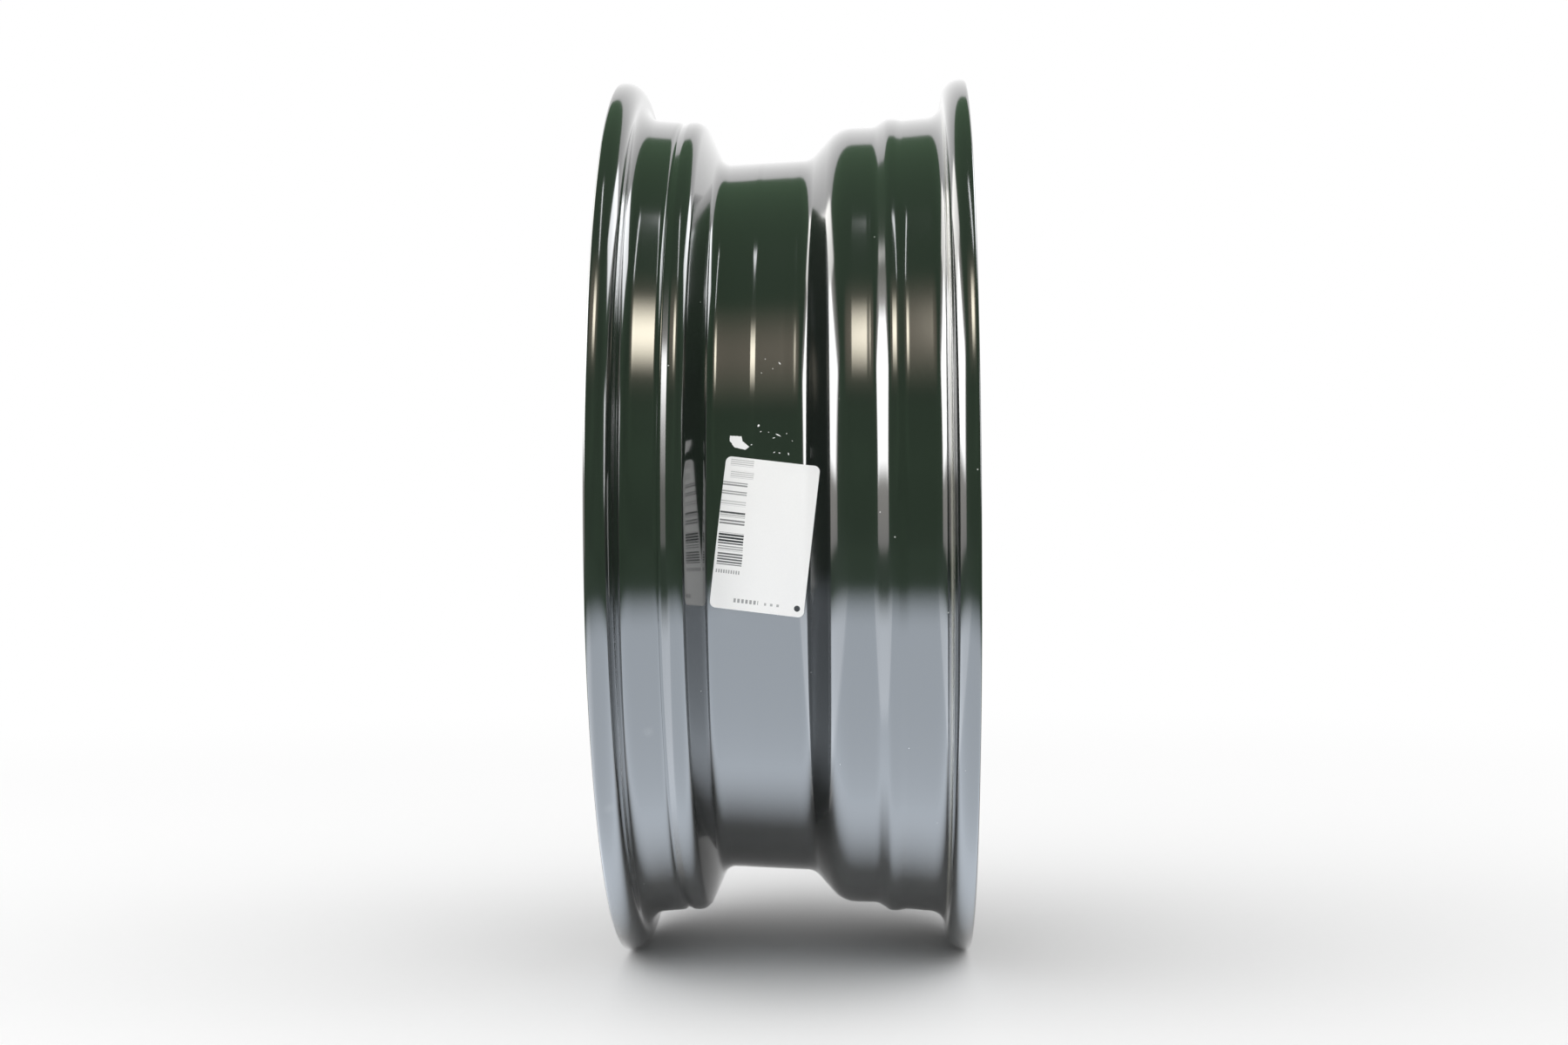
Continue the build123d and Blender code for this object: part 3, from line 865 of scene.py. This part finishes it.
class WHEELRIM_OT_paper(bpy.types.Operator):
    """White label on the drop centre, and the torn scrap of an older one"""

    bl_idname = "wheelrim.paper"
    bl_label = "Paper Label And Scrap"

    def execute(self, context):
        hoop = context.scene.wheelrim_hoop
        paper = context.scene.wheelrim_paper
        finishes = context.scene.wheelrim_finishes
        torn = Random(TEAR_SEED)
        material = label_paper(finishes, "printed_label_paper", True)
        add_piece("paper_label_sheet", self.label(hoop, paper), material, "white_paper", "paper_label")
        material = label_paper(finishes, "torn_label_paper", False)
        add_piece("torn_label_scrap", self.scrap(hoop, paper, torn), material, "white_paper", "label_scrap")
        add_piece("paper_flecks", self.flecks(hoop, torn), material, "white_paper")
        return {"FINISHED"}

    def label(self, hoop, paper):
        """The label, with round corners, stuck on a little askew."""
        mesh = bmesh.new()
        bmesh.ops.create_grid(mesh, x_segments=1, y_segments=1, size=0.5)
        bmesh.ops.scale(mesh, verts=mesh.verts[:], vec=(paper.label_width, paper.label_height, 1))
        bmesh.ops.bevel(
            mesh, geom=mesh.verts[:], offset=LABEL_CORNER, offset_type="OFFSET", affect="VERTICES",
            segments=8, profile=0.5, material=-1,
        )
        self.divide(mesh, LABEL_CELL)
        self.remember_plane(mesh)
        place = Matrix.Translation((hoop_places(hoop)["wall_foot"] + LABEL_FROM_WALL, -LABEL_DROP, 0))
        move(mesh, place @ Matrix.Rotation(-LABEL_TILT, 4, "Z"))
        self.lay_on_well(mesh, hoop, paper.thickness)
        return mesh

    def scrap(self, hoop, paper, torn):
        """The scrap, with an uneven torn edge."""
        mesh = bmesh.new()
        rim = [mesh.verts.new((x * SCRAP_LENGTH, y * SCRAP_HEIGHT, 0)) for x, y in SCRAP_OUTLINE]
        mesh.faces.new(rim)
        point_outwards(mesh)
        self.divide(mesh, SCRAP_CELL)
        for vert in mesh.verts:
            if vert.is_boundary:
                vert.co *= 1 - torn.random() * TEAR_SHARE
        self.remember_plane(mesh)
        move(mesh, Matrix.Translation((hoop_places(hoop)["wall_foot"] + SCRAP_FROM_WALL, SCRAP_RISE, 0)))
        self.lay_on_well(mesh, hoop, paper.thickness)
        return mesh

    def flecks(self, hoop, torn):
        """The flecks, each a small uneven disc of its own."""
        mesh = bmesh.new()
        for across, up, length, breadth in FLECKS:
            fleck = bmesh.new()
            bmesh.ops.create_circle(fleck, cap_ends=True, segments=9, radius=0.5)
            for vert in fleck.verts:
                flat = Vector((vert.co.x * length, vert.co.y * breadth, 0))
                vert.co = flat * (1 - FLECK_SHRINK * torn.random()) * MM
            place = Matrix.Translation((across * MM, up * MM, 0))
            move(fleck, place @ Matrix.Rotation(torn.random() * pi, 4, "Z"))
            self.remember_plane(fleck)
            self.lay_on_well(fleck, hoop, FLECK_THICKNESS)
            join_part(mesh, fleck, Matrix.Identity(4))
        return mesh

    def divide(self, mesh, spacing):
        """Cuts a flat sheet into a lattice, so that it can follow the drop centre."""
        for axis in (Vector((1, 0, 0)), Vector((0, 1, 0))):
            reach = max(vert.co.dot(axis) for vert in mesh.verts)
            count = int(reach / spacing)
            for step in range(-count, count + 1):
                geometry = mesh.verts[:] + mesh.edges[:] + mesh.faces[:]
                place = axis * (step + 0.5) * spacing
                bmesh.ops.bisect_plane(mesh, geom=geometry, plane_co=place, plane_no=axis)

    def remember_plane(self, mesh):
        """Keeps each point's place on the flat sheet, in millimetres, as its UV."""
        layer = mesh.loops.layers.uv.new("label_plane")
        for face in mesh.faces:
            for loop in face.loops:
                loop[layer].uv = (loop.vert.co.x / MM, loop.vert.co.y / MM)

    def lay_on_well(self, mesh, hoop, thickness):
        """Lays a flat sheet on the drop centre and gives it the thickness of the paper."""
        for face in mesh.faces:
            if face.normal.z < 0:
                face.normal_flip()
        for vert in mesh.verts:
            axial, up = vert.co.x, vert.co.y
            radius = well_skin(hoop, axial) + PAPER_CLEARANCE
            vert.co = Vector((sqrt(radius ** 2 - up ** 2), axial, up))
        point_outwards(mesh)
        if sum(face.normal.x for face in mesh.faces) < 0:
            bmesh.ops.reverse_faces(mesh, faces=mesh.faces[:])
        mesh.normal_update()
        top = bmesh.ops.extrude_face_region(mesh, geom=mesh.faces[:], use_keep_orig=True)["geom"]
        for vert in top:
            if isinstance(vert, bmesh.types.BMVert):
                vert.co += vert.normal * thickness
        point_outwards(mesh)


# The stage, in metres
FLOOR_HEIGHT = -0.2075
FLOOR_RADIUS = 4.0
# The floor turns from paper to plain white between these distances
FLOOR_FADE_START = 0.5
FLOOR_FADE_END = 1.6
# Cloths: the arcs that the two curved ones cover are in degrees
SCREEN_DISTANCE = 1.7
SCREEN_ARC = (-45, 105)
APRON_ARC = (-140, 140)
ROOF_HEIGHT = 2.2
ROOF_RADIUS = 2.55
ROOF_MIDDLE = 0.35
APRON_RISE = 3 * MM
APRON_START = 0.42
APRON_FULL = 0.70
ROOM_COLOUR = (0.13, 0.22, 0.13, 1)
WORLD_FILL = 0.96
RADIANCE_TO_WATTS = pi
UP = (0, 0, 1)
ACROSS = (1, 0, 0)
WHITE = (1, 1, 1)
COOL = (0.96, 0.98, 1.0)
# Name, place, aim, upright, width, height, radiance and colour
LAMPS = [
    ("left_softbox", (0.45, -1.11, 0.70), (0, 0, 0.1), UP, 1.70, 1.20, 0.55, WHITE),
    ("right_softbox", (-0.10, 1.25, 1.00), (0, 0, 0.1), UP, 1.40, 1.60, 0.35, WHITE),
    ("front_softbox", (1.40, 0.10, 1.20), (0, 0, 0), UP, 1.20, 0.80, 0.6, (1.0, 0.98, 0.94)),
]
# Name, place, aim, upright, width, height, radiance, colour and the soft share of each side
CARDS = [
    ("left_card", (0.457, -1.15, 0.645), (0.457, 0, 0.645), UP, 1.40, 1.00, 9.0, WHITE, (0.35, 0.30)),
    (
        "left_rear_card", (-0.62, -1.17, 0.80), (-0.62, 0, 0.80), UP,
        1.30, 1.50, 3.8, (1, 0.99, 0.96), (0.25, 0.25),
    ),
    ("left_halo", (0.30, -1.19, 0.60), (0.30, 0, 0.60), UP, 2.60, 2.00, 1.5, (1, 0.97, 0.92), (0.5, 0.5)),
    ("right_card", (-0.50, 1.17, 1.15), (-0.50, 0, 1.15), UP, 1.30, 0.80, 5.2, COOL, (0.2, 0.35)),
    ("right_low_card", (0.16, 1.18, 0.26), (0.16, 0, 0.26), UP, 0.46, 0.52, 4.8, COOL, (0.5, 0.5)),
    ("top_strip", (0.37, 0.15, 1.50), (0.37, 0.15, 0), (1, 0.4, 0), 0.10, 0.75, 5.5, COOL, (0.5, 0.3)),
    ("warm_card", (0.824, 0.06, 0.9), (0.17, 0.06, 0.08), UP, 0.27, 0.54, 9.2, (1.0, 0.93, 0.76), (0.5, 1.0)),
    ("warm_glow", (0.85, 0, 0.95), (0.17, 0, 0.08), UP, 1.00, 0.90, 0.75, (1.0, 0.90, 0.70), (0.6, 1.0)),
    (
        "bench_left_card", (0.45, -0.50, FLOOR_HEIGHT + 2 * MM), (0.45, -0.50, 1), ACROSS,
        0.84, 0.84, 3.5, (0.92, 0.99, 1.08), (0.12, 0.25),
    ),
    (
        "bench_card", (0.535, 0, FLOOR_HEIGHT + 1 * MM), (0.535, 0, 1), ACROSS,
        1.60, 0.96, 2.75, (0.90, 0.99, 1.10), (0.3, 0.18),
    ),
]
# The camera looks against X; its place and its turns in radians were fitted to the photograph
CAMERA_PLACE = (1.2581, 0.03804, -0.00176)
CAMERA_YAW = 0.0353
CAMERA_PITCH = -0.0013
CAMERA_ROLL = 0.0059
LENS_MILLIMETRES = 59.67
SENSOR_MILLIMETRES = 36


def facing(place, aim, upright):
    """Matrix that puts a lamp or a card in its place, facing what it is aimed at."""
    back = (Vector(place) - Vector(aim)).normalized()
    side = Vector(upright).cross(back).normalized()
    return Matrix.Translation(place) @ Matrix((side, back.cross(side), back)).transposed().to_4x4()


class WHEELRIM_OT_stage(bpy.types.Operator):
    """Pale floor, dark screens that only the gloss shows, soft lamps and the camera"""

    bl_idname = "wheelrim.stage"
    bl_label = "Stage"

    def execute(self, context):
        self.floor(context.scene.wheelrim_finishes)
        self.screens()
        self.cards()
        self.lamps()
        self.world(context)
        self.camera(context)
        return {"FINISHED"}

    def stage_piece(self, name, mesh, material, gloss_only=True):
        """Adds a piece of the stage, which only reflections show unless it is told otherwise."""
        piece = object_from(name, mesh)
        piece.data.materials.append(material)
        if gloss_only:
            for ray in ("camera", "diffuse", "transmission", "shadow"):
                setattr(piece, "visible_" + ray, False)

    def floor(self, finishes):
        """Pale floor that fades into the white background."""
        mesh = bmesh.new()
        bmesh.ops.create_circle(mesh, cap_ends=True, segments=96, radius=FLOOR_RADIUS)
        bmesh.ops.translate(mesh, verts=mesh.verts[:], vec=(0, 0, FLOOR_HEIGHT))
        material, node = new_material("pale_studio_floor")
        place = node("TexCoord").outputs["Object"]
        away = node("VectorMath LENGTH", i0=place).outputs["Value"]
        edge = {**SMOOTH, "From Min": FLOOR_FADE_START, "From Max": FLOOR_FADE_END}
        fade = node("MapRange", edge, Value=away)
        rays = node("LightPath").outputs
        seen = node("Math MAXIMUM", i0=rays["Is Camera Ray"], i1=rays["Is Glossy Ray"])
        white = node("Math MULTIPLY", i0=fade, i1=seen)
        grain = node("TexNoise", {"Scale": 1 / (4 * MM), "Detail": 2.0}, Vector=place)
        tone = node("MapRange", {"To Min": 0.985, "To Max": 1.0}, Value=grain)
        pale = {"data_type": "RGBA", "blend_type": "MULTIPLY", 0: 1.0, 6: linear(finishes.floor)}
        tint = node("Mix", pale, i7=tone).outputs[2]
        board = node("BsdfPrincipled", {"Roughness": 0.9, "Specular IOR Level": 0.0}, Base_Color=tint)
        glow = node("Emission", {"Color": (1, 1, 1, 1), "Strength": 1.0})
        node("OutputMaterial", Surface=node("MixShader", i0=white, i1=board, i2=glow))
        self.stage_piece("studio_floor", mesh, material, gloss_only=False)

    def screens(self):
        """Dark cloths in front and overhead."""
        material, node = new_material("dark_studio_cloth")
        place = node("TexCoord").outputs["Object"]
        folds = node("TexNoise", {"Scale": 1.3, "Detail": 2.0}, Vector=place)
        tone = node("MapRange", {"To Min": 0.6, "To Max": 1.5}, Value=folds)
        cloth = node("Emission", {"Color": ROOM_COLOUR}, Strength=tone)
        flat = node("VectorMath MULTIPLY", {1: (1, 1, 0)}, i0=place)
        away = node("VectorMath LENGTH", i0=flat).outputs["Value"]
        edge = node("MapRange", {**SMOOTH, "From Min": APRON_START, "From Max": APRON_FULL}, Value=away)
        soft = node("MixShader", i0=edge, i1=node("BsdfTransparent"), i2=cloth)
        node("OutputMaterial", Surface=soft)
        upright = [(SCREEN_DISTANCE, FLOOR_HEIGHT), (SCREEN_DISTANCE, ROOF_HEIGHT)]
        level = [(distance, FLOOR_HEIGHT + APRON_RISE) for distance in (APRON_START, SCREEN_DISTANCE)]
        self.stage_piece("front_screen", self.curved_screen(upright, *SCREEN_ARC), material)
        self.stage_piece("floor_apron", self.curved_screen(level, *APRON_ARC), material)
        roof = bmesh.new()
        bmesh.ops.create_circle(roof, cap_ends=True, segments=64, radius=ROOF_RADIUS)
        bmesh.ops.translate(roof, verts=roof.verts[:], vec=(ROOF_MIDDLE, 0, ROOF_HEIGHT))
        material, node = new_material("dark_roof_cloth")
        node("OutputMaterial", Surface=node("Emission", {"Color": ROOM_COLOUR, "Strength": 1.0}))
        self.stage_piece("roof_screen", roof, material)

    def curved_screen(self, profile, first_angle, last_angle):
        """Spins a line of (distance, height) points round the vertical, between two angles in degrees."""
        mesh = bmesh.new()
        vert = mesh.verts.new((profile[0][0], 0, profile[0][1]))
        for distance, height in profile[1:]:
            vert = run_to(mesh, vert, Vector((distance, 0, height)), 4)
        geometry = mesh.verts[:] + mesh.edges[:]
        turn = radians(last_angle - first_angle)
        bmesh.ops.spin(mesh, geom=geometry, cent=HUB, axis=UP, angle=turn, steps=60)
        move(mesh, Matrix.Rotation(radians(first_angle), 4, "Z"))
        return mesh

    def cards(self):
        """Glowing cards with soft edges."""
        for name, place, aim, upright, width, height, radiance, tint, soft in CARDS:
            mesh = bmesh.new()
            mesh.loops.layers.uv.new("card")
            bmesh.ops.create_grid(mesh, x_segments=1, y_segments=1, size=0.5, calc_uvs=True)
            bmesh.ops.scale(mesh, verts=mesh.verts[:], vec=(width, height, 1))
            move(mesh, facing(place, aim, upright))
            material, node = new_material(name + "_glow")
            axes = node("SeparateXYZ", Vector=node("UVMap", {"uv_map": "card"})).outputs
            sides = []
            for axis, share in zip(axes, soft):
                off = node("Math SUBTRACT", {1: 0.5}, i0=axis)
                away = node("Math ABSOLUTE", i0=off)
                edge = {**SMOOTH, "From Min": 0.5 - share / 2, "From Max": 0.5, "To Min": 1.0, "To Max": 0.0}
                sides.append(node("MapRange", edge, Value=away))
            fade = node("Math MULTIPLY", i0=sides[0], i1=sides[1])
            glow = node("Emission", {"Color": (*tint, 1), "Strength": radiance})
            card = node("MixShader", i0=fade, i1=node("BsdfTransparent"), i2=glow)
            node("OutputMaterial", Surface=card)
            self.stage_piece(name, mesh, material)

    def lamps(self):
        """Soft lamps that light the paper, the floor and the wheel at a plain level."""
        for name, place, aim, upright, width, height, radiance, tint in LAMPS:
            lamp = bpy.data.lights.new(name, "AREA")
            lamp.shape = "RECTANGLE"
            lamp.size, lamp.size_y = width, height
            lamp.color = tint
            lamp.energy = radiance * width * height * RADIANCE_TO_WATTS
            piece = bpy.data.objects.new(name, lamp)
            bpy.context.scene.collection.objects.link(piece)
            piece.matrix_world = facing(place, aim, upright)
            piece.visible_camera = False
            piece.visible_glossy = False

    def world(self, context):
        """White background for the camera and the gloss, and a dim fill for everything else."""
        world = bpy.data.worlds.new("white_studio")
        world.use_nodes = True
        world.node_tree.nodes.clear()
        node = partial(add_node, world.node_tree)
        rays = node("LightPath").outputs
        seen = node("Math MAXIMUM", i0=rays["Is Camera Ray"], i1=rays["Is Glossy Ray"])
        seen = node("Math MAXIMUM", i0=seen, i1=rays["Is Transmission Ray"])
        level = node("MapRange", {"To Min": WORLD_FILL, "To Max": 1.0}, Value=seen)
        light = node("Background", {"Color": (1, 1, 1, 1)}, Strength=level)
        node("OutputWorld", Surface=light)
        context.scene.world = world

    def camera(self, context):
        """Camera on the wheel's edge, as the photograph was taken."""
        up = Vector(UP)
        forward = Vector((-cos(CAMERA_YAW), -sin(CAMERA_YAW), 0))
        right = Vector((-sin(CAMERA_YAW), cos(CAMERA_YAW), 0))
        ahead = forward * cos(CAMERA_PITCH) + up * sin(CAMERA_PITCH)
        upright = up * cos(CAMERA_PITCH) - forward * sin(CAMERA_PITCH)
        side = right * cos(CAMERA_ROLL) - upright * sin(CAMERA_ROLL)
        top = right * sin(CAMERA_ROLL) + upright * cos(CAMERA_ROLL)
        lens = bpy.data.cameras.new("studio_camera")
        lens.sensor_width = SENSOR_MILLIMETRES
        lens.lens = LENS_MILLIMETRES
        camera = bpy.data.objects.new("studio_camera", lens)
        context.scene.collection.objects.link(camera)
        turn = Matrix((side, top, -ahead)).transposed().to_4x4()
        camera.matrix_world = Matrix.Translation(CAMERA_PLACE) @ turn
        context.scene.camera = camera
        context.scene.view_settings.view_transform = "Standard"


class WHEELRIM_PT_panel(bpy.types.Panel):
    """Lists the wheel's pieces and the stage"""

    bl_label = "Wheel Rim"
    bl_idname = "WHEELRIM_PT_panel"
    bl_space_type = "VIEW_3D"
    bl_region_type = "UI"
    bl_category = "Wheel Rim"

    def draw(self, context):
        for name, operator in zip(GROUPS, OPERATORS):
            group = getattr(context.scene, name)
            box = self.layout.box()
            for value in group.__annotations__:
                box.prop(group, value)
            box.operator(operator.bl_idname)


GROUPS = {
    "wheelrim_hoop": HoopSizes, "wheelrim_disc": DiscSizes, "wheelrim_welds": WeldSizes,
    "wheelrim_paper": PaperSizes, "wheelrim_finishes": Finishes,
}
OPERATORS = [WHEELRIM_OT_hoop, WHEELRIM_OT_disc, WHEELRIM_OT_welds, WHEELRIM_OT_paper, WHEELRIM_OT_stage]


def register():
    for item in [*GROUPS.values(), *OPERATORS, WHEELRIM_PT_panel]:
        bpy.utils.register_class(item)
    for name, group in GROUPS.items():
        setattr(bpy.types.Scene, name, PointerProperty(type=group))


def unregister():
    for name in GROUPS:
        delattr(bpy.types.Scene, name)
    for item in reversed([*GROUPS.values(), *OPERATORS, WHEELRIM_PT_panel]):
        bpy.utils.unregister_class(item)


def main():
    """Makes the wheel and its stage."""
    register()
    bpy.ops.wheelrim.hoop()
    bpy.ops.wheelrim.disc()
    bpy.ops.wheelrim.welds()
    bpy.ops.wheelrim.paper()
    bpy.ops.wheelrim.stage()


if __name__ == "__main__":
    main()
